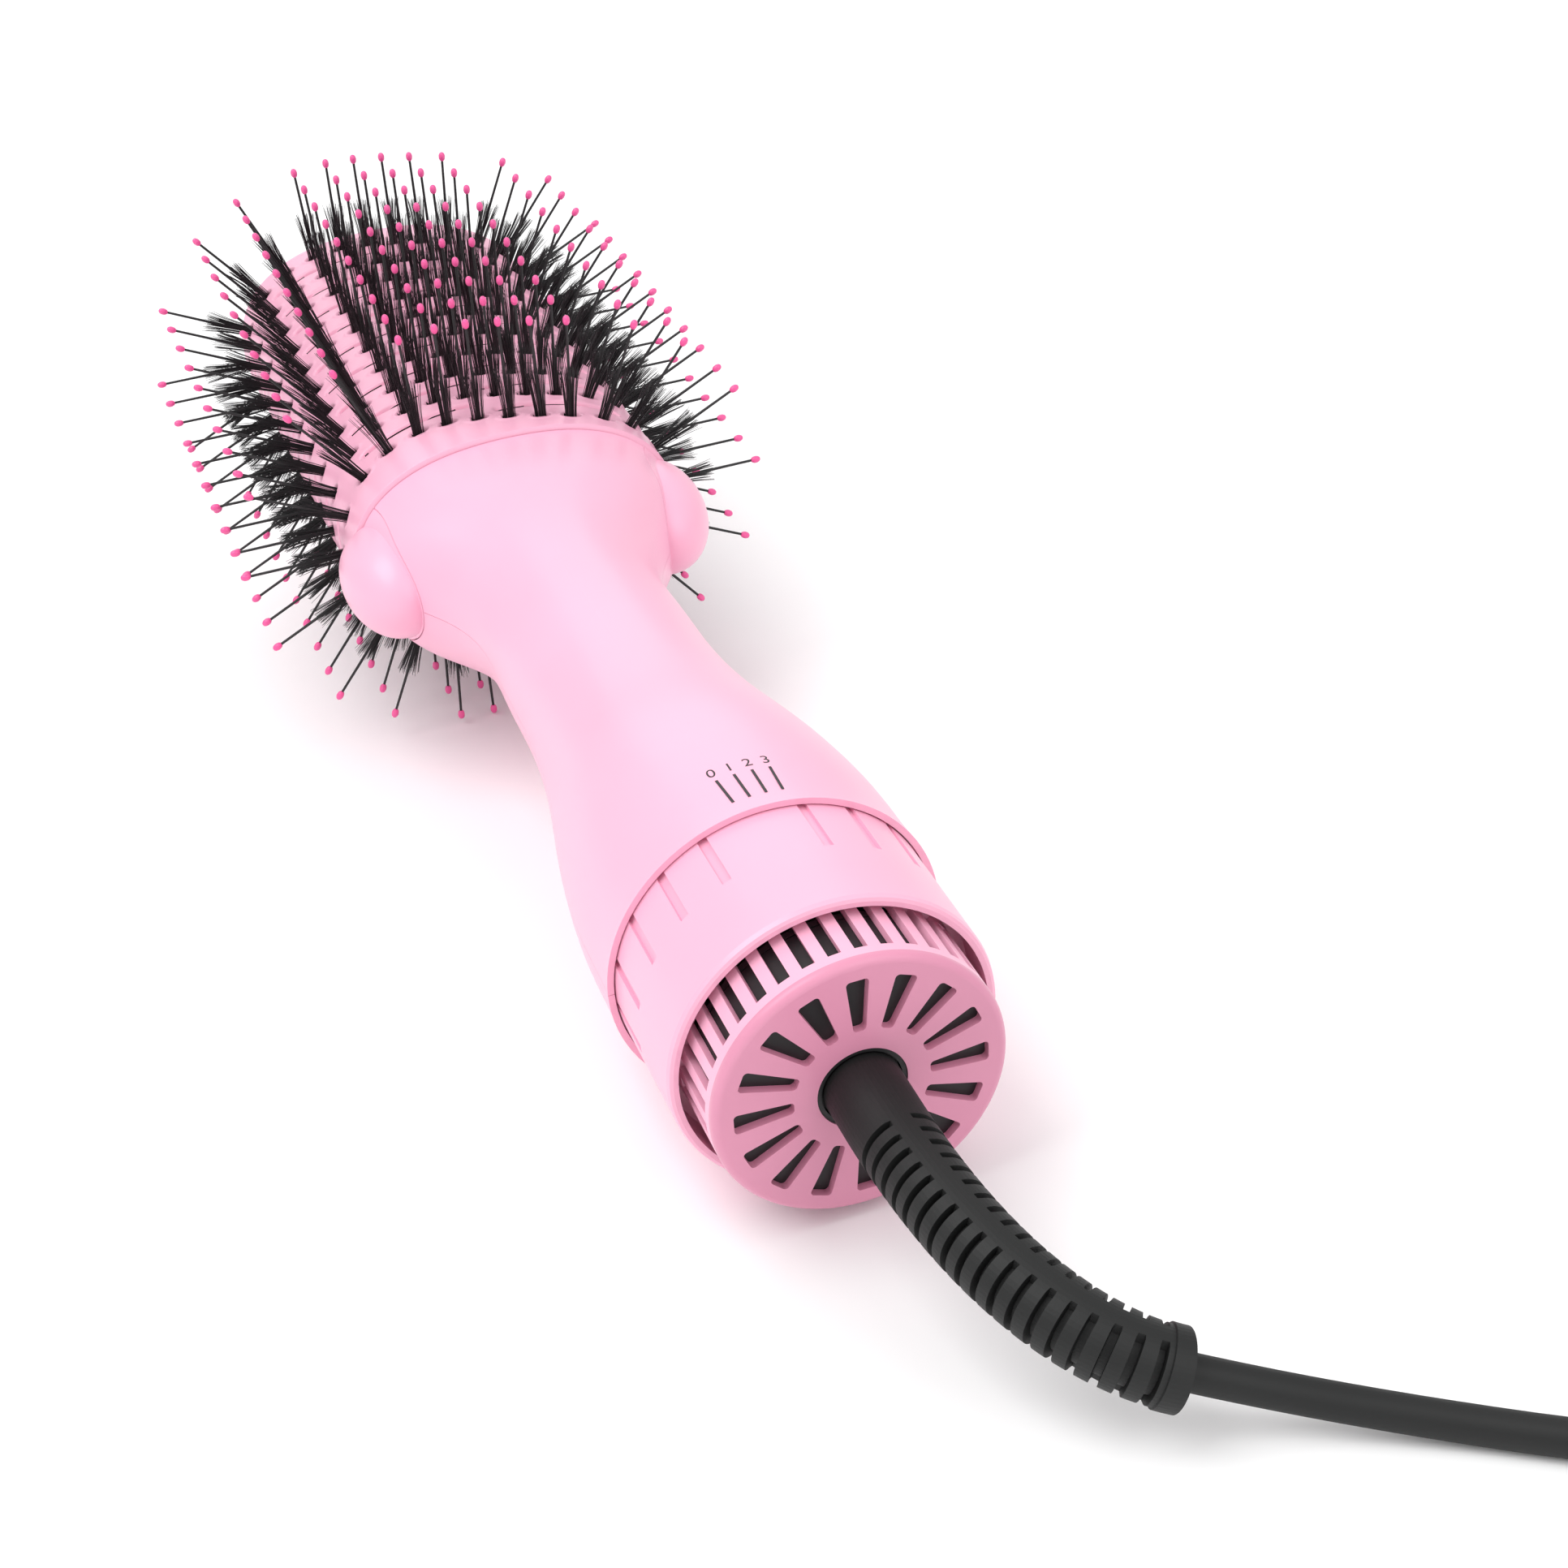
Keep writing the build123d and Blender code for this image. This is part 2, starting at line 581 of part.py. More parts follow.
def main():
    os.makedirs("parts", exist_ok=True)
    frames = stations()
    slots = slot_cutters()
    top, bottom, right_panel = handle_shells()
    pieces = {
        "intake_cap": intake_cap(),
        "intake_basket": intake_basket(),
        "dust_filter": dust_filter(),
        "swivel_bush": swivel_bush(),
        "swivel_hub": swivel_hub(),
        "switch_ring": switch_ring(),
        "switch_carrier": switch_carrier(),
        "switch_wiper": switch_wiper(),
        "contact_pads": contact_pads(),
        "circuit_board": circuit_board(),
        "board_capacitor": board_capacitor(),
        "handle_top_shell": top,
        "handle_bottom_shell": bottom,
        "side_panel_right": right_panel,
        "side_panel_left": mirror(right_panel, Plane.YZ),
        "barrel_shell": barrel_shell(frames, slots),
        "end_cap": end_cap(),
        "barrel_flange": barrel_flange(),
        "heater_frame": heater_frame(),
        "heater_liner": heater_liner(),
        "heater_bridge": heater_bridge(),
        "heater_wire": heater_wire(),
        "thermostat": thermostat(),
        "thermal_fuse": thermal_fuse(),
        "blower_duct": blower_duct(),
        "motor_can": motor_can(),
        "motor_shaft": motor_shaft(),
        "impeller": impeller(),
        "shell_screws": shell_screws(),
    }
    for name in ("top", "bottom", "left", "right"):
        pieces[f"bristle_plate_{name}"] = bristle_plate(name, frames, slots)
    pieces = {name: place(shape) for name, shape in pieces.items()}
    path = cord_path()
    pieces["strain_relief"] = strain_relief(path)
    pieces["power_cord"] = along(path, CORD_D / 2, 1.0)
    pieces["cord_coil"] = cord_coil()
    pieces["coil_tie"] = coil_tie()
    pieces["cord_tail"] = cord_tail()
    pieces["plug_body"] = plug_body()
    pieces["plug_pins"] = plug_pins()
    for name, shape in pieces.items():
        export_step(shape, f"parts/{name}.step")
    print("cord tube", round(pieces["power_cord"].volume), "section x length", round(math.pi * CORD_D ** 2 / 4 * path.length))


if __name__ == "__main__":
    main()
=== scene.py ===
import json
import math
import random

import bpy
import numpy as np
from mathutils import Matrix, Vector


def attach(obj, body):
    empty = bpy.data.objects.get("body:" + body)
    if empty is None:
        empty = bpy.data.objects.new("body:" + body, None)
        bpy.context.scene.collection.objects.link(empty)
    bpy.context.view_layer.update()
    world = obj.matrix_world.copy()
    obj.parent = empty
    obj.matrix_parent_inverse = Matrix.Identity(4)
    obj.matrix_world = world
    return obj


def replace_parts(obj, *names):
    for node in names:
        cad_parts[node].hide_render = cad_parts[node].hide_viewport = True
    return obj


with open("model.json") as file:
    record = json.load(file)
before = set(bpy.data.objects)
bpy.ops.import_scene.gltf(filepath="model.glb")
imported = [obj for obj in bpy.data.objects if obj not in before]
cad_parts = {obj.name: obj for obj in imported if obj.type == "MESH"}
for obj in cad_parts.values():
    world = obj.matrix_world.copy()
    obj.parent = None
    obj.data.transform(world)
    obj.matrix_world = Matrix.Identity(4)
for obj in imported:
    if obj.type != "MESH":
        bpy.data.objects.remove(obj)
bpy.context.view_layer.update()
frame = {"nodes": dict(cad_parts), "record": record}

# ---------------------------------------------------------------------------
# Driving dimensions. Millimetres in the tool frame: y runs along the brush
# from the intake cap, z is up, x is across the wide face.
# ---------------------------------------------------------------------------
MM = 0.001
REST_TILT = math.radians(5.567)
REST_Y, REST_Z = -171.15, 29.535
RAISED = Matrix.Translation((0, REST_Y * MM, REST_Z * MM))
PLACE = RAISED @ Matrix.Rotation(REST_TILT, 4, "X") @ Matrix.Scale(MM, 4)

# Barrel: an oval tube, drawn as a fine grid that is pushed in and out.
BARREL_Y = (212.4, 340.0)
BARREL_HALF = (39.0, 26.4)
BARREL_WALL = 1.8
OVAL_POWER = 2.3
OVAL_SAMPLES = 4001
BARREL_COLUMNS, BARREL_ROWS = 560, 330

# Bristle rows: x of each row in one quarter of the oval, and how far it leans from upright.
ROW_X = [3.45, 10.3, 17.2, 25.0, 31.6, 37.3]
ROW_LEAN = [0.0, 0.0, 3.4, 23.5, 39.0, 64.0]
WIDE_FACE_LEAN = 20
RINGS = 10
RING_STEP = 12.2
FIRST_RING = 221.5
WAVE = 4.0

# Oval holes with a raised rim, as half sizes across and along the barrel.
# HOLE_ZONE bounds a hole's work across, along and outward from its middle.
HOLE_HALF = (2.4, 1.25)
HOLE_DEPTH = 1.5
HOLE_EDGE = 0.35
HOLE_ZONE = (5, 4, 4)
RIM_HEIGHT = 0.22
RIM_WIDTH = 0.45

# Air slots between the rings of holes: (from, to, shift in waves) on a wide face.
SLOT_SPANS = [(2.0, 29.5, -0.75), (-29.5, -2.0, 0.75)]
SLOT_SLANT = 0.035
SLOT_HALF = 1.2
SLOT_DEPTH = 0.7
SLOT_EDGE = 0.5
SLIT_HALF = 0.45
SLIT_DEPTH = 0.9
SLIT_EDGE = 0.15
SLIT_LIP = 0.1
SIDE_SLOT_HALF = 4.5
WIDE_FACE_Z = 12
NARROW_SIDE_X = 30

# Pins with ball tips, and the tufts of nylon fibres round them.
PIN_R = 0.33
PIN_OUT = 22.4
PIN_ROOT = -3.0
PIN_TAPER = [(0.0, 1.35), (8.0, 1.15), (16.0, 1.0)]
PIN_ROOT_SWELL, PIN_END_SWELL = 1.5, 0.95
PIN_IN_TIP = 0.4
PIN_SIDES = 8
TIP_R, TIP_LEN = 0.85, 2.4
TIP_POLE_R = 0.02
TIP_BLUNT = 0.85
TIP_STEPS, TIP_SIDES = 8, 12
TUFT_OUT = 12.0
TUFT_ROOT = 2.0
TUFT_HALF = (1.45, 0.8)
FIBRES = 44
FIBRE_R = 0.085
FIBRE_UNEVEN = (-0.7, 0.5)
FIBRE_LEAN = 0.02
FIBRE_SPREAD = 0.085
FIBRE_LEAN_RANGE = 0.02
FIBRE_SWAY = 0.25
FIBRE_STEPS, FIBRE_SIDES = 4, 3
BACKING_INSET = 2.6
BACKING_Y = (215.6, 336.0)
BACKING_COLUMNS, BACKING_ROWS = 160, 24

# Print on the handle: strokes and numerals, one for each place of the switch.
HANDLE_AT_MARKS = [(45.0, 32.35), (58.0, 32.1), (72.0, 30.9)]
SWITCH_PLACES = 4
SWITCH_STEP = 5.6
STROKE_Y = (45.8, 53.8)
STROKE_ROWS = 9
STROKE_EDGES = (-0.5, 0, 0.5)
STROKE_FAN = 0.012
STROKE_LIFT = 0.05
NUMERAL_SIZE = 3.6
NUMERAL_THICK = 0.02
NUMERAL_FAN = 1.12
NUMERAL_Y, NUMERAL_MIDDLE_Y = 55.2, 57.0
NUMERAL_LIFT = 0.06
NUMERAL_TILT = math.radians(-2.0)

# Cord, in the shared frame: the route, the flat coil, and the run to the plug.
# The curve runs inside the coil's control points, so they swell outward a little.
CORD_D = 6.4
CORD_ROUTE = [
    (0.0, -179.11, 28.76),
    (0.0, -232.86, 23.52),
    (47.0, -249.5, 3.2),
    (94.4, -286.3, 3.2),
    (152.4, -301.8, 4.2),
]
COIL_AT = (163.95, -258.7)
COIL_OUTER = 44.6
COIL_TURNS = 7
COIL_PITCH = CORD_D
COIL_ENTRY = -105
COIL_STEPS = 16
COIL_SWELL = 1.012
COIL_LOW_Z = 4.2
COIL_CLIMB_STEPS = 8
PLUG_Z = 7.0
TAIL_LEN = 46.0
PLUG_OFFSET = 35.5
CORD_BEVEL, CORD_SMOOTH = 6, 10

# Strain relief: a ribbed sleeve round the cord's first bend.
RELIEF_R = 7.15
RELIEF_TAPER = 0.5
RELIEF_ROOT_LEN, RELIEF_END_LEN = 6.0, 4
RELIEF_RIBS = 18
RIB_SHARE = 0.66
RIB_GAP_DEPTH = 1.7
SPINE_SINE = 0.93
COLLAR_LEN, COLLAR_RISE = 3, 0.35
RELIEF_ROWS, RELIEF_SIDES = 520, 48
NECK_OUTLINE = [(14.0, 5.3), (0.4, 5.3), (0.4, RELIEF_R), (-8.2, RELIEF_R)]

# Surface finish shared by every material.
COAT_ROUGH = 0.25
CLOUD_SCALE, CLOUD_DETAIL = 35.0, 4.0
GRAIN_DETAIL = 3.0
GRAIN_HEIGHT = 0.0002
GLOSS_RANGE = 0.15

# Floor, lights and camera, in metres.
FLOOR_HALF = 6.0
LAMPS = [
    ("key", (-0.6, -0.1, 1.2), 0.9, 9),
    ("fill", (0.5, -1.0, 0.8), 1.0, 4),
    ("back", (0.2, 1.3, 1.0), 1.2, 4),
]
WORLD_STRENGTH = 0.75
CAMERA_AT = (-0.119298, -0.522804, 0.302218)
CAMERA_FORWARD = (0.261347, 0.828683, -0.494957)
CAMERA_UP = (0.248391, 0.437771, 0.864094)
CAMERA_LENS, CAMERA_SENSOR = 61.27, 36.0
CAMERA_NEAR = 0.01


# --- materials ---------------------------------------------------------------

def noise(nodes, links, coords, scale, detail):
    """Noise texture in the piece's own coordinates."""
    cloud = nodes.new("ShaderNodeTexNoise")
    cloud.inputs["Scale"].default_value = scale
    cloud.inputs["Detail"].default_value = detail
    links.new(coords.outputs["Object"], cloud.inputs["Vector"])
    return cloud


def material(name, colour, rough, metal=0.0, coat=0.0, grain=900.0, grain_depth=0.08, mottle=0.04):
    """Plastic, rubber or metal with a fine grain and slightly uneven colour and gloss."""
    mat = bpy.data.materials.new(name)
    mat.use_nodes = True
    nodes, links = mat.node_tree.nodes, mat.node_tree.links
    shader = nodes["Principled BSDF"]
    shader.inputs["Metallic"].default_value = metal
    shader.inputs["Coat Weight"].default_value = coat
    shader.inputs["Coat Roughness"].default_value = COAT_ROUGH
    coords = nodes.new("ShaderNodeTexCoord")
    cloud = noise(nodes, links, coords, CLOUD_SCALE, CLOUD_DETAIL)
    tint = nodes.new("ShaderNodeMapRange")
    tint.data_type = "FLOAT_VECTOR"
    tint.inputs["To Min"].default_value = [channel * (1 - mottle) for channel in colour]
    tint.inputs["To Max"].default_value = [min(1.0, channel * (1 + mottle)) for channel in colour]
    links.new(cloud.outputs["Fac"], tint.inputs["Vector"])
    links.new(tint.outputs["Vector"], shader.inputs["Base Color"])
    gloss = nodes.new("ShaderNodeMapRange")
    gloss.inputs["To Min"].default_value = rough * (1 - GLOSS_RANGE)
    gloss.inputs["To Max"].default_value = min(1.0, rough * (1 + GLOSS_RANGE))
    links.new(cloud.outputs["Fac"], gloss.inputs["Value"])
    links.new(gloss.outputs["Result"], shader.inputs["Roughness"])
    fine = noise(nodes, links, coords, grain, GRAIN_DETAIL)
    bump = nodes.new("ShaderNodeBump")
    bump.inputs["Strength"].default_value = grain_depth
    bump.inputs["Distance"].default_value = GRAIN_HEIGHT
    links.new(fine.outputs["Fac"], bump.inputs["Height"])
    links.new(bump.outputs["Normal"], shader.inputs["Normal"])
    return mat


PINK = material("pink_satin", (0.94, 0.46, 0.62), 0.36, coat=0.12)
PINK_DEEP = material("pink_cap", (0.74, 0.29, 0.43), 0.38, coat=0.12)
TIP_PINK = material("tip_pink", (0.88, 0.10, 0.34), 0.30, coat=0.3)
BLACK = material("black_plastic", (0.012, 0.012, 0.013), 0.5)
NYLON = material("black_nylon", (0.010, 0.010, 0.011), 0.38)
RUBBER = material("black_rubber", (0.004, 0.0045, 0.0045), 0.6, grain=1400.0, grain_depth=0.2)
STEEL = material("steel", (0.55, 0.55, 0.57), 0.32, metal=1.0)
BRASS = material("brass", (0.70, 0.52, 0.25), 0.3, metal=1.0)
BOARD = material("board", (0.35, 0.30, 0.20), 0.6)
PRINT = material("print_black", (0.03, 0.025, 0.03), 0.5)
PALE = material("floor_pale", (0.97, 0.97, 0.97), 0.8, grain=60.0, grain_depth=0.01, mottle=0.005)
SLOT_MATERIAL = {
    "pink_housing": PINK,
    "dark_plastic": BLACK,
    "nylon_bristle": NYLON,
    "black_rubber": RUBBER,
    "steel": STEEL,
    "brass_contact": BRASS,
    "board": BOARD,
}


def dress(obj, mat):
    """Give an object one material."""
    obj.data.materials.clear()
    obj.data.materials.append(mat)


def dress_cad():
    """Every CAD piece in its slot's material, with the cap and basket as they look."""
    nodes = frame["nodes"]
    for part in frame["record"]["subparts"]:
        dress(nodes[part["node"]], SLOT_MATERIAL[part["material_slot"]])
    dress(nodes["intake_cap"], PINK_DEEP)
    dress(nodes["intake_basket"], PINK)
    for inside in ("dust_filter", "swivel_bush", "swivel_hub"):
        dress(nodes[inside], BLACK)


# --- mesh helpers ------------------------------------------------------------

def make(name, points, faces, mat, body, smooth=True, tool=True):
    """Mesh piece riding on a CAD body, from tool-frame millimetres unless tool is False."""
    points = np.asarray(points, dtype=float)
    if tool:
        turn = np.array(PLACE.to_3x3())
        points = points @ turn.T + np.array(PLACE.translation)
    mesh = bpy.data.meshes.new(name)
    mesh.from_pydata(points.tolist(), [], [tuple(face) for face in faces])
    mesh.validate()
    mesh.polygons.foreach_set("use_smooth", [smooth] * len(mesh.polygons))
    obj = bpy.data.objects.new(name, mesh)
    bpy.context.scene.collection.objects.link(obj)
    dress(obj, mat)
    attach(obj, body)
    return obj


def grid_faces(rows, columns, closed):
    """Quads of a rows x columns grid, wrapped round its columns if closed."""
    faces = []
    wide = columns if closed else columns - 1
    for row in range(rows - 1):
        for column in range(wide):
            beside = (column + 1) % columns
            faces.append((row * columns + column, row * columns + beside,
                          (row + 1) * columns + beside, (row + 1) * columns + column))
    return faces


def ring(centre, radius, sides, side_a, side_b):
    """Points of a circle round a centre, in the plane of two side vectors."""
    points = []
    for k in range(sides):
        a = 2 * math.pi * k / sides
        points.append(centre + radius * (math.cos(a) * side_a + math.sin(a) * side_b))
    return points


def bar(centres, radii, sides, side_a, side_b):
    """Points and faces of a bar with a radius at each of its centres."""
    points = []
    for centre, radius in zip(centres, radii):
        points += ring(centre, radius, sides, side_a, side_b)
    return points, grid_faces(len(centres), sides, True)


def add(store, piece):
    """Append one piece's points and faces to a growing mesh."""
    points, faces = piece
    start = len(store[0])
    store[0].extend(points)
    store[1].extend(tuple(index + start for index in face) for face in faces)


# --- barrel --------------------------------------------------------------------

def barrel_z(x):
    """Height of the barrel's upper face over x."""
    return BARREL_HALF[1] * (1 - (abs(x) / BARREL_HALF[0]) ** OVAL_POWER) ** (1 / OVAL_POWER)


def oval(inset, t):
    """Points of the barrel's oval, drawn in by inset, for angles t."""
    c, s = np.cos(t), np.sin(t)
    bend = 2 / OVAL_POWER
    x = (BARREL_HALF[0] - inset) * np.sign(c) * np.abs(c) ** bend
    z = (BARREL_HALF[1] - inset) * np.sign(s) * np.abs(s) ** bend
    return x, z


def oval_normal(x, z):
    """Unit vectors that point out of the oval at its points."""
    nx = np.sign(x) * (np.abs(x) / BARREL_HALF[0]) ** (OVAL_POWER - 1) / BARREL_HALF[0]
    nz = np.sign(z) * (np.abs(z) / BARREL_HALF[1]) ** (OVAL_POWER - 1) / BARREL_HALF[1]
    size = np.hypot(nx, nz)
    return nx / size, nz / size


def even_angles():
    """Angles that space the oval's points evenly round it."""
    fine = np.linspace(0, 2 * math.pi, OVAL_SAMPLES)
    x, z = oval(0, fine)
    arc = np.concatenate(([0], np.cumsum(np.hypot(np.diff(x), np.diff(z)))))
    return np.interp(np.linspace(0, arc[-1], BARREL_COLUMNS, endpoint=False), arc, fine)


def bristle_rows():
    """Every row as (x, z, lean, shift along the barrel, zone)."""
    found = []
    last = len(ROW_X)
    for index, (x, lean) in enumerate(zip(ROW_X, ROW_LEAN)):
        shift = -WAVE * math.sin(math.pi * min((index + 0.5) / (last - 0.5), 1.0))
        z = barrel_z(x)
        wide = lean < WIDE_FACE_LEAN
        found.append((x, z, lean, shift, "top" if wide else "right"))
        found.append((-x, z, -lean, -shift, "top" if wide else "left"))
        found.append((-x, -z, lean + 180, shift, "bottom" if wide else "left"))
        found.append((x, -z, 180 - lean, -shift, "bottom" if wide else "right"))
    found.append((BARREL_HALF[0], 0.0, 90.0, 0.0, "right"))
    found.append((-BARREL_HALF[0], 0.0, -90.0, 0.0, "left"))
    return found


def stations():
    """(zone, origin, outward, across) for every bristle hole."""
    found = []
    for x, z, lean, shift, zone in bristle_rows():
        a = math.radians(lean)
        outward = np.array((math.sin(a), 0.0, math.cos(a)))
        across = np.array((math.cos(a), 0.0, -math.sin(a)))
        for index in range(RINGS):
            origin = np.array((x, FIRST_RING + shift + index * RING_STEP, z))
            found.append((zone, origin, outward, across))
    return found


STATIONS = stations()
ALONG = np.array((0.0, 1.0, 0.0))


def press_holes(x, y, z, height, opened):
    """Sink every bristle hole with its raised rim into the height grid."""
    for _, origin, outward, across in STATIONS:
        u = (x - origin[0]) * across[0] + (z - origin[2]) * across[2]
        v = y - origin[1]
        w = (x - origin[0]) * outward[0] + (z - origin[2]) * outward[2]
        near = (np.abs(u) < HOLE_ZONE[0]) & (np.abs(v) < HOLE_ZONE[1]) & (np.abs(w) < HOLE_ZONE[2])
        beyond = (np.hypot(u / HOLE_HALF[0], v / HOLE_HALF[1]) - 1) * HOLE_HALF[1]
        rim = RIM_HEIGHT * np.clip(1 - np.abs(beyond - RIM_WIDTH / 2) / RIM_WIDTH, 0, 1)
        sink = -HOLE_DEPTH * np.clip(-beyond / HOLE_EDGE, 0, 1)
        raised = np.where(beyond > 0, np.maximum(height, rim), sink)
        height[:] = np.where(near, raised, height)
        opened |= near & (beyond < -HOLE_EDGE)


def slot_groove(off):
    """Depth of a slot's groove at a distance from its middle line."""
    return -SLOT_DEPTH * np.clip((SLOT_HALF - off) / SLOT_EDGE, 0, 1)


def press_wide_slots(x, y, z, height, opened, middle, side):
    """Sink one ring gap's two slanting slots into a wide face, with a slit through each."""
    along = x * side
    for low, high, shift in SLOT_SPANS:
        outside = np.clip(np.maximum(low - along, along - high), 0, None)
        slant = SLOT_SLANT * (along - (low + high) / 2)
        off = np.hypot(np.abs(y - (middle + shift * WAVE - slant)), outside)
        facing = z * side > WIDE_FACE_Z
        slit = -SLIT_DEPTH * np.clip((SLIT_HALF - off) / SLIT_EDGE + 0.5, 0, 1)
        height[:] = np.where(facing & (off < SLOT_HALF), slot_groove(off) + slit, height)
        opened |= facing & (off < SLIT_HALF - SLIT_LIP)


def press_side_slot(x, y, z, height, opened, middle, side):
    """Sink one ring gap's short slot into a narrow side, with a slit through it."""
    outside = np.clip(np.abs(z) - SIDE_SLOT_HALF, 0, None)
    off = np.hypot(np.abs(y - middle), outside)
    facing = x * side > NARROW_SIDE_X
    height[:] = np.where(facing & (off < SLOT_HALF), slot_groove(off), height)
    opened |= facing & (off < SLIT_HALF - SLIT_LIP)


def barrel_shell():
    """Oval tube with rimmed oval holes and grooved air slots, open where it is open."""
    angles = even_angles()
    ring_x, ring_z = oval(0, angles)
    x, y = np.meshgrid(ring_x, np.linspace(*BARREL_Y, BARREL_ROWS))
    z = np.broadcast_to(ring_z, x.shape)
    height = np.zeros_like(x)
    opened = np.zeros(x.shape, dtype=bool)
    press_holes(x, y, z, height, opened)
    for gap in range(RINGS - 1):
        middle = FIRST_RING + (gap + 0.5) * RING_STEP
        for side in (1, -1):
            press_wide_slots(x, y, z, height, opened, middle, side)
            press_side_slot(x, y, z, height, opened, middle, side)
    normal_x, normal_z = oval_normal(ring_x, ring_z)
    outer = np.stack((x + height * normal_x, y, z + height * normal_z), -1).reshape(-1, 3)
    faces = [face for face in grid_faces(BARREL_ROWS, BARREL_COLUMNS, True) if not opened.flat[face[0]]]
    lip_x, lip_z = oval(BARREL_WALL, angles)
    lips = [np.column_stack((lip_x, np.full_like(lip_x, end), lip_z)) for end in BARREL_Y]
    front_lip = len(outer)
    back_lip = front_lip + BARREL_COLUMNS
    back_edge = (BARREL_ROWS - 1) * BARREL_COLUMNS
    for k in range(BARREL_COLUMNS):
        beside = (k + 1) % BARREL_COLUMNS
        faces.append((front_lip + k, front_lip + beside, beside, k))
        faces.append((back_edge + k, back_edge + beside, back_lip + beside, back_lip + k))
    obj = make("barrel_skin", np.concatenate((outer, *lips)), faces, PINK, "handle")
    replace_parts(obj, "barrel_shell")


# --- bristles ------------------------------------------------------------------

def fibre(rng, origin, outward, across):
    """One nylon filament, leaning outward from the tuft's root."""
    angle = rng.uniform(0, 2 * math.pi)
    spread = math.sqrt(rng.random())
    away = math.cos(angle) * across + math.sin(angle) * ALONG
    in_tuft = TUFT_HALF[0] * math.cos(angle) * across + TUFT_HALF[1] * math.sin(angle) * ALONG
    root = origin + spread * in_tuft - TUFT_ROOT * outward
    length = TUFT_OUT + TUFT_ROOT + rng.uniform(*FIBRE_UNEVEN)
    lean = FIBRE_LEAN + FIBRE_SPREAD * spread + rng.uniform(-FIBRE_LEAN_RANGE, FIBRE_LEAN_RANGE)
    sway = rng.uniform(-FIBRE_SWAY, FIBRE_SWAY) * across + rng.uniform(-FIBRE_SWAY, FIBRE_SWAY) * ALONG
    centres = []
    for step in range(FIBRE_STEPS + 1):
        s = step / FIBRE_STEPS
        centres.append(root + outward * length * s + (away * length * lean + sway) * s * s)
    radii = [FIBRE_R] * FIBRE_STEPS + [FIBRE_R / 2]
    return bar(centres, radii, FIBRE_SIDES, across, ALONG)


def pin(origin, outward, across):
    """One tapering moulded pin, from its backing plate into its ball tip."""
    outline = [(PIN_ROOT, PIN_ROOT_SWELL), *PIN_TAPER, (PIN_OUT + PIN_IN_TIP, PIN_END_SWELL)]
    centres = [origin + height * outward for height, _ in outline]
    radii = [PIN_R * swell for _, swell in outline]
    return bar(centres, radii, PIN_SIDES, across, ALONG)


def ball_tip(origin, outward, across):
    """One long round tip on a pin's end."""
    centres, radii = [], []
    for step in range(TIP_STEPS + 1):
        s = math.pi * step / TIP_STEPS
        centres.append(origin + outward * (PIN_OUT + TIP_LEN * (1 - math.cos(s)) / 2))
        radii.append(max(TIP_POLE_R, TIP_R * math.sin(s) ** TIP_BLUNT))
    return bar(centres, radii, TIP_SIDES, across, ALONG)


def bristles(zone):
    """One plate's tufts, pins and ball tips, as three meshes. The pins replace the plate."""
    rng = random.Random(zone)
    tufts, pins, tips = ([], []), ([], []), ([], [])
    for place, origin, outward, across in STATIONS:
        if place != zone:
            continue
        for _ in range(FIBRES):
            add(tufts, fibre(rng, origin, outward, across))
        add(pins, pin(origin, outward, across))
        add(tips, ball_tip(origin, outward, across))
    make(f"tufts_{zone}", *tufts, NYLON, "handle")
    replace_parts(make(f"pins_{zone}", *pins, BLACK, "handle"), f"bristle_plate_{zone}")
    make(f"ball_tips_{zone}", *tips, TIP_PINK, "handle")


def bristle_backing():
    """Dark tube inside the barrel, seen through the holes and slots."""
    x, z = oval(BACKING_INSET, np.linspace(0, 2 * math.pi, BACKING_COLUMNS, endpoint=False))
    points = []
    for y in np.linspace(*BACKING_Y, BACKING_ROWS):
        points += [(a, y, b) for a, b in zip(x, z)]
    make("bristle_backing", points, grid_faces(BACKING_ROWS, BACKING_COLUMNS, True), BLACK, "handle")


# --- print on the handle ---------------------------------------------------------

def handle_r(y):
    """Radius of the handle behind the switch ring."""
    ys, rs = zip(*HANDLE_AT_MARKS)
    return float(np.interp(y, ys, rs))


def switch_angle(index):
    """Angle in degrees of one of the switch's places, round the top of the handle."""
    return (index - (SWITCH_PLACES - 1) / 2) * SWITCH_STEP


def dial_ticks():
    """Short printed strokes in front of the switch ring, fanning out a little."""
    store = ([], [])
    for index in range(SWITCH_PLACES):
        points = []
        for y in np.linspace(*STROKE_Y, STROKE_ROWS):
            fan = 1 + (y - STROKE_Y[0]) * STROKE_FAN
            for edge in STROKE_EDGES:
                a = math.radians(switch_angle(index) * fan + edge)
                r = handle_r(y) + STROKE_LIFT
                points.append(np.array((r * math.sin(a), y, r * math.cos(a))))
        add(store, (points, grid_faces(STROKE_ROWS, len(STROKE_EDGES), False)))
    make("dial_ticks", *store, PRINT, "handle", smooth=False)


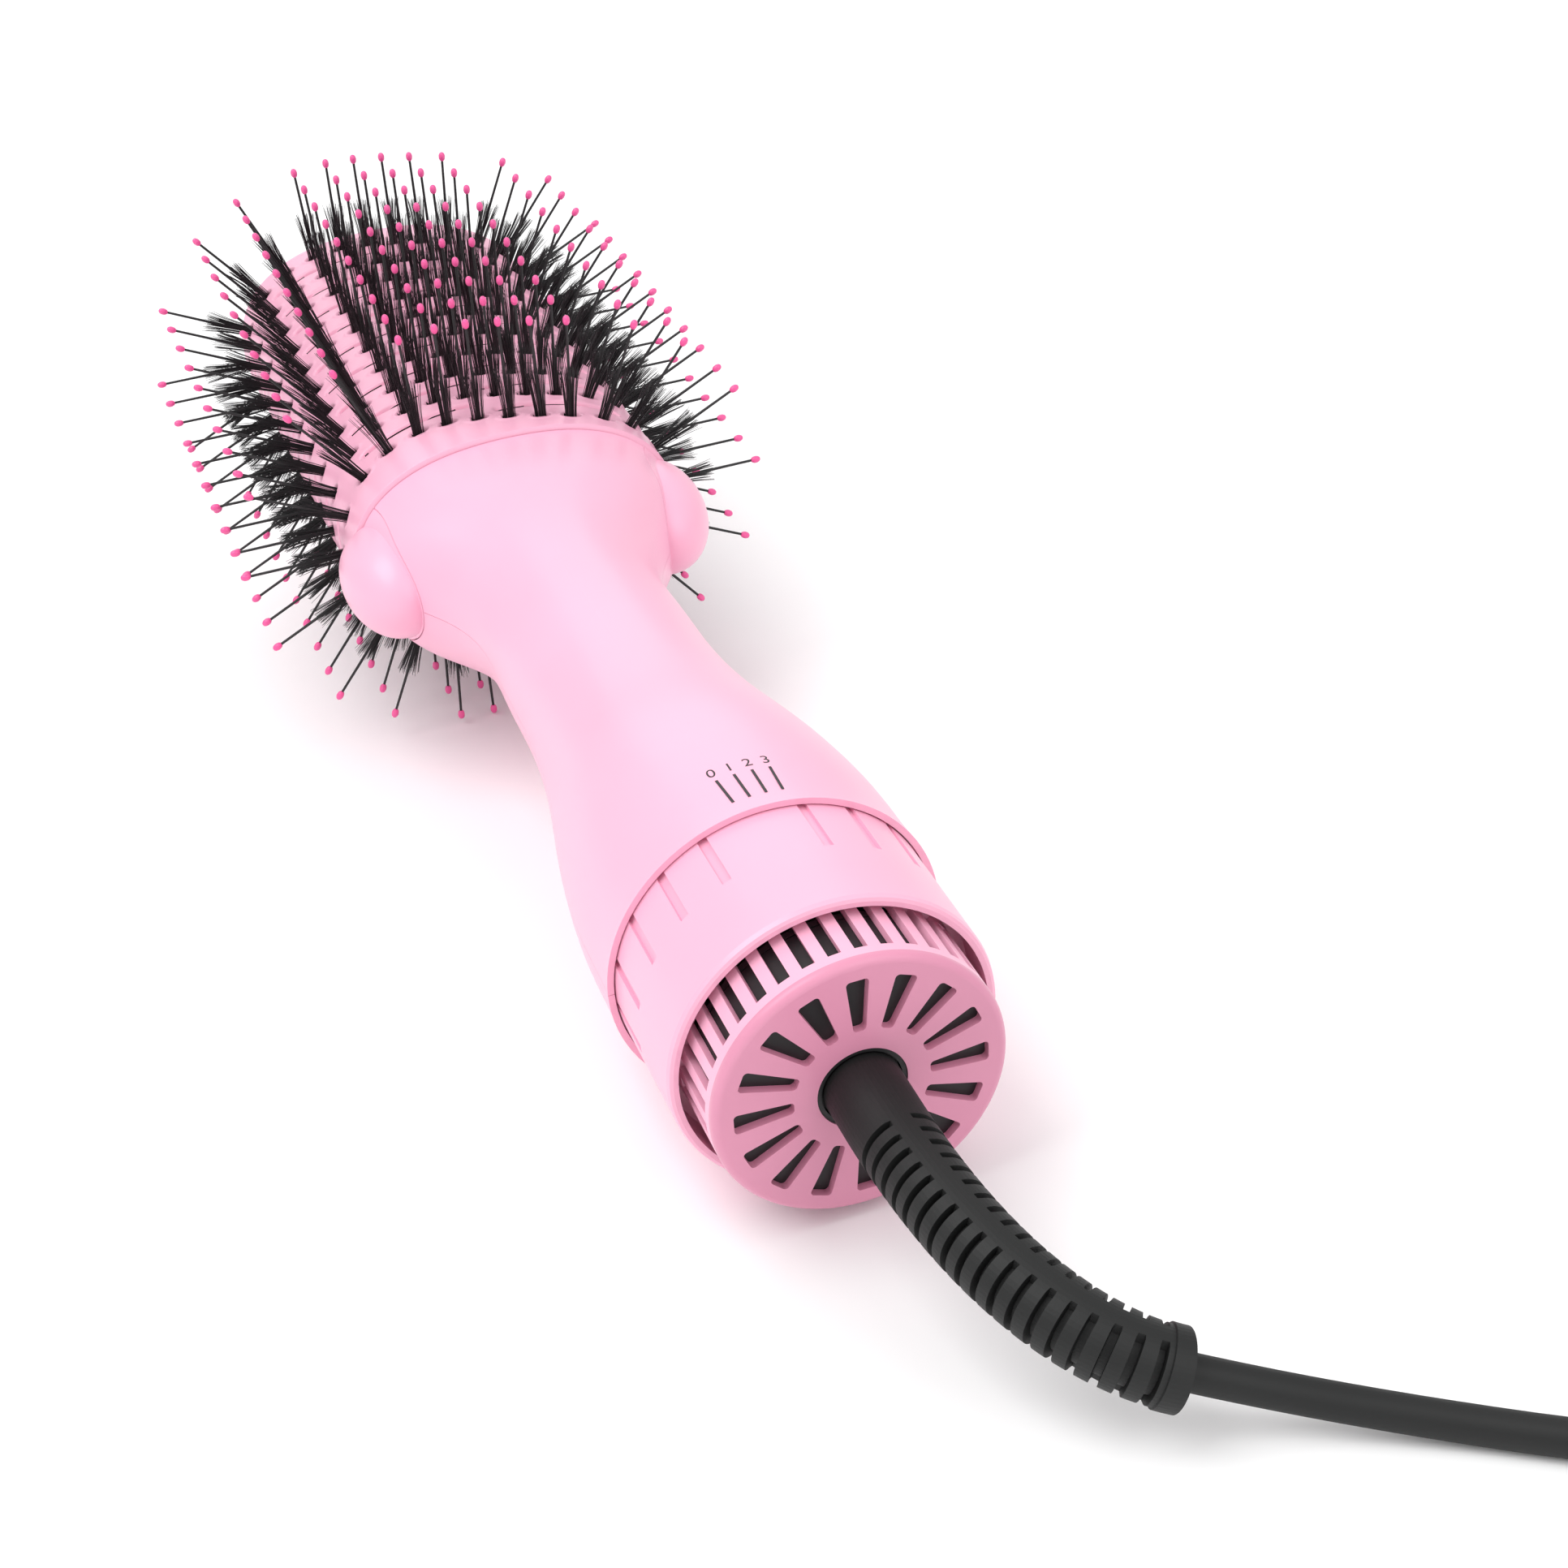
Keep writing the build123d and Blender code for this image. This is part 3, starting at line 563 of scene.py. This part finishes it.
def dial_numbers():
    """Generic numerals from 0 upward beyond the strokes."""
    r = handle_r(NUMERAL_MIDDLE_Y) + NUMERAL_LIFT
    for index in range(SWITCH_PLACES):
        a = math.radians(switch_angle(index) * NUMERAL_FAN)
        curve = bpy.data.curves.new(f"dial_{index}", "FONT")
        curve.body = str(index)
        curve.size = NUMERAL_SIZE
        curve.extrude = NUMERAL_THICK
        curve.align_x = "CENTER"
        text = bpy.data.objects.new(f"dial_{index}", curve)
        bpy.context.scene.collection.objects.link(text)
        spot = Matrix.Translation((r * math.sin(a), NUMERAL_Y, r * math.cos(a)))
        text.matrix_world = PLACE @ spot @ Matrix.Rotation(a, 4, "Y") @ Matrix.Rotation(NUMERAL_TILT, 4, "X")
        dress(text, PRINT)
        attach(text, "handle")


# --- cord ------------------------------------------------------------------------

def coil_points():
    """Control points of the flat coil: inward on the lower layer, outward on the upper."""
    points = []
    total = COIL_TURNS * COIL_STEPS + int(COIL_STEPS * -COIL_ENTRY / 360)
    climb_start = total // 2 - COIL_CLIMB_STEPS // 2
    for step in range(1, total + 1):
        inward = min(step, total - step)
        r = (COIL_OUTER - COIL_PITCH * inward / COIL_STEPS) * COIL_SWELL
        a = math.radians(COIL_ENTRY) + 2 * math.pi * step / COIL_STEPS
        climbed = min(1, max(0, (step - climb_start) / COIL_CLIMB_STEPS))
        z = COIL_LOW_Z + CORD_D * climbed
        points.append((COIL_AT[0] + r * math.cos(a), COIL_AT[1] + r * math.sin(a), z))
    return points


def cord_points():
    """Control points in metres: the route, the coil's turns and the run to the plug."""
    points = CORD_ROUTE + coil_points()
    x, y = COIL_AT
    points.append((x + (COIL_OUTER + PLUG_OFFSET) / 2, y + TAIL_LEN / 2, (points[-1][2] + PLUG_Z) / 2))
    points.append((x + PLUG_OFFSET, y + TAIL_LEN, PLUG_Z))
    return [(a * MM, b * MM, c * MM) for a, b, c in points]


def power_cord():
    """The whole free cord as one smooth curve."""
    points = cord_points()
    curve = bpy.data.curves.new("cord", "CURVE")
    curve.dimensions = "3D"
    spline = curve.splines.new("NURBS")
    spline.points.add(len(points) - 1)
    for point, (x, y, z) in zip(spline.points, points):
        point.co = (x, y, z, 1)
    spline.order_u = 3
    spline.use_endpoint_u = True
    curve.bevel_depth = CORD_D * MM / 2
    curve.bevel_resolution = CORD_BEVEL
    curve.resolution_u = CORD_SMOOTH
    curve.use_fill_caps = True
    obj = bpy.data.objects.new("cord", curve)
    bpy.context.scene.collection.objects.link(obj)
    dress(obj, RUBBER)
    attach(obj, "handle")
    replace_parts(obj, "power_cord", "cord_coil", "cord_tail")
    return obj


def relief_frames():
    """Centre and two side vectors along the cord's first bend, in millimetres."""
    p0, p1, p2 = (np.array(p) for p in CORD_ROUTE[:3])
    end = (p1 + p2) / 2
    found = []
    for k in range(RELIEF_ROWS):
        t = k / (RELIEF_ROWS - 1)
        centre = (1 - t) ** 2 * p0 + 2 * t * (1 - t) * p1 + t * t * end
        heading = 2 * (1 - t) * (p1 - p0) + 2 * t * (end - p1)
        heading = heading / np.linalg.norm(heading)
        side = np.cross(heading, (0, 0, 1))
        side = side / np.linalg.norm(side)
        found.append((centre, side, np.cross(side, heading)))
    return found


def relief_radius(s, whole, spine):
    """Radius of the sleeve at a distance s along it: ribs, a spine down each side, a collar."""
    r = RELIEF_R - RELIEF_TAPER * s / whole
    if s > whole - COLLAR_LEN:
        return r + COLLAR_RISE
    phase = (s - RELIEF_ROOT_LEN) / (whole - RELIEF_ROOT_LEN - RELIEF_END_LEN) * RELIEF_RIBS
    ribbed = RELIEF_ROOT_LEN < s < whole - RELIEF_END_LEN
    if ribbed and phase % 1 > RIB_SHARE and not spine:
        return r - RIB_GAP_DEPTH
    return r


def relief_sleeve():
    """The bent, ribbed part of the strain relief."""
    frames = relief_frames()
    steps = [np.linalg.norm(after[0] - before[0]) for before, after in zip(frames, frames[1:])]
    lengths = np.concatenate(([0], np.cumsum(steps)))
    points = []
    for (centre, side, up), s in zip(frames, lengths):
        for k in range(RELIEF_SIDES):
            a = 2 * math.pi * k / RELIEF_SIDES
            r = relief_radius(s, lengths[-1], abs(math.sin(a)) > SPINE_SINE)
            points.append(centre + r * (math.cos(a) * side + math.sin(a) * up))
    faces = grid_faces(RELIEF_ROWS, RELIEF_SIDES, True)
    faces.append(tuple((RELIEF_ROWS - 1) * RELIEF_SIDES + k for k in range(RELIEF_SIDES)))
    obj = make("relief", np.array(points) * MM, faces, RUBBER, "handle", smooth=False, tool=False)
    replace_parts(obj, "strain_relief")
    return obj


def relief_neck():
    """The round neck that joins the relief to the swivel hub."""
    points = []
    for y, r in NECK_OUTLINE:
        for k in range(RELIEF_SIDES):
            a = 2 * math.pi * k / RELIEF_SIDES
            points.append((r * math.cos(a), y, r * math.sin(a)))
    faces = grid_faces(len(NECK_OUTLINE), RELIEF_SIDES, True)
    return make("relief_root", points, faces, RUBBER, "handle", smooth=False)


# --- floor, light and camera ---------------------------------------------------------

def area_light(name, at, size, power):
    """Square lamp that points at the frame's origin."""
    data = bpy.data.lights.new(name, "AREA")
    data.size = size
    data.energy = power
    lamp = bpy.data.objects.new(name, data)
    lamp.location = at
    lamp.rotation_mode = "QUATERNION"
    lamp.rotation_quaternion = (Vector((0, 0, 0)) - Vector(at)).to_track_quat("-Z", "Y")
    bpy.context.scene.collection.objects.link(lamp)


def floor():
    """Pale ground plane under everything."""
    mesh = bpy.data.meshes.new("floor")
    half = FLOOR_HALF
    corners = [(-half, -half, 0), (half, -half, 0), (half, half, 0), (-half, half, 0)]
    mesh.from_pydata(corners, [], [(0, 1, 2, 3)])
    plane = bpy.data.objects.new("floor", mesh)
    bpy.context.scene.collection.objects.link(plane)
    dress(plane, PALE)


def white_world():
    """Even white light from all round."""
    world = bpy.data.worlds.new("studio")
    world.use_nodes = True
    background = world.node_tree.nodes["Background"]
    background.inputs["Color"].default_value = (1, 1, 1, 1)
    background.inputs["Strength"].default_value = WORLD_STRENGTH
    bpy.context.scene.world = world


def scene_camera():
    """Camera at CAMERA_AT, looking along CAMERA_FORWARD."""
    data = bpy.data.cameras.new("camera")
    data.lens = CAMERA_LENS
    data.sensor_width = CAMERA_SENSOR
    data.clip_start = CAMERA_NEAR
    camera = bpy.data.objects.new("camera", data)
    bpy.context.scene.collection.objects.link(camera)
    forward = Vector(CAMERA_FORWARD).normalized()
    right = forward.cross(Vector(CAMERA_UP)).normalized()
    turn = Matrix((right, right.cross(forward), -forward)).transposed().to_4x4()
    camera.matrix_world = Matrix.Translation(CAMERA_AT) @ turn
    bpy.context.scene.camera = camera


# --- build -------------------------------------------------------------------------

dress_cad()
barrel_shell()
bristle_backing()
for zone in ("top", "bottom", "left", "right"):
    bristles(zone)
dial_ticks()
dial_numbers()
relief = relief_sleeve()
relief_root = relief_neck()
cord = power_cord()

bpy.context.scene.view_settings.view_transform = "Standard"
floor()
for lamp in LAMPS:
    area_light(*lamp)
white_world()
scene_camera()
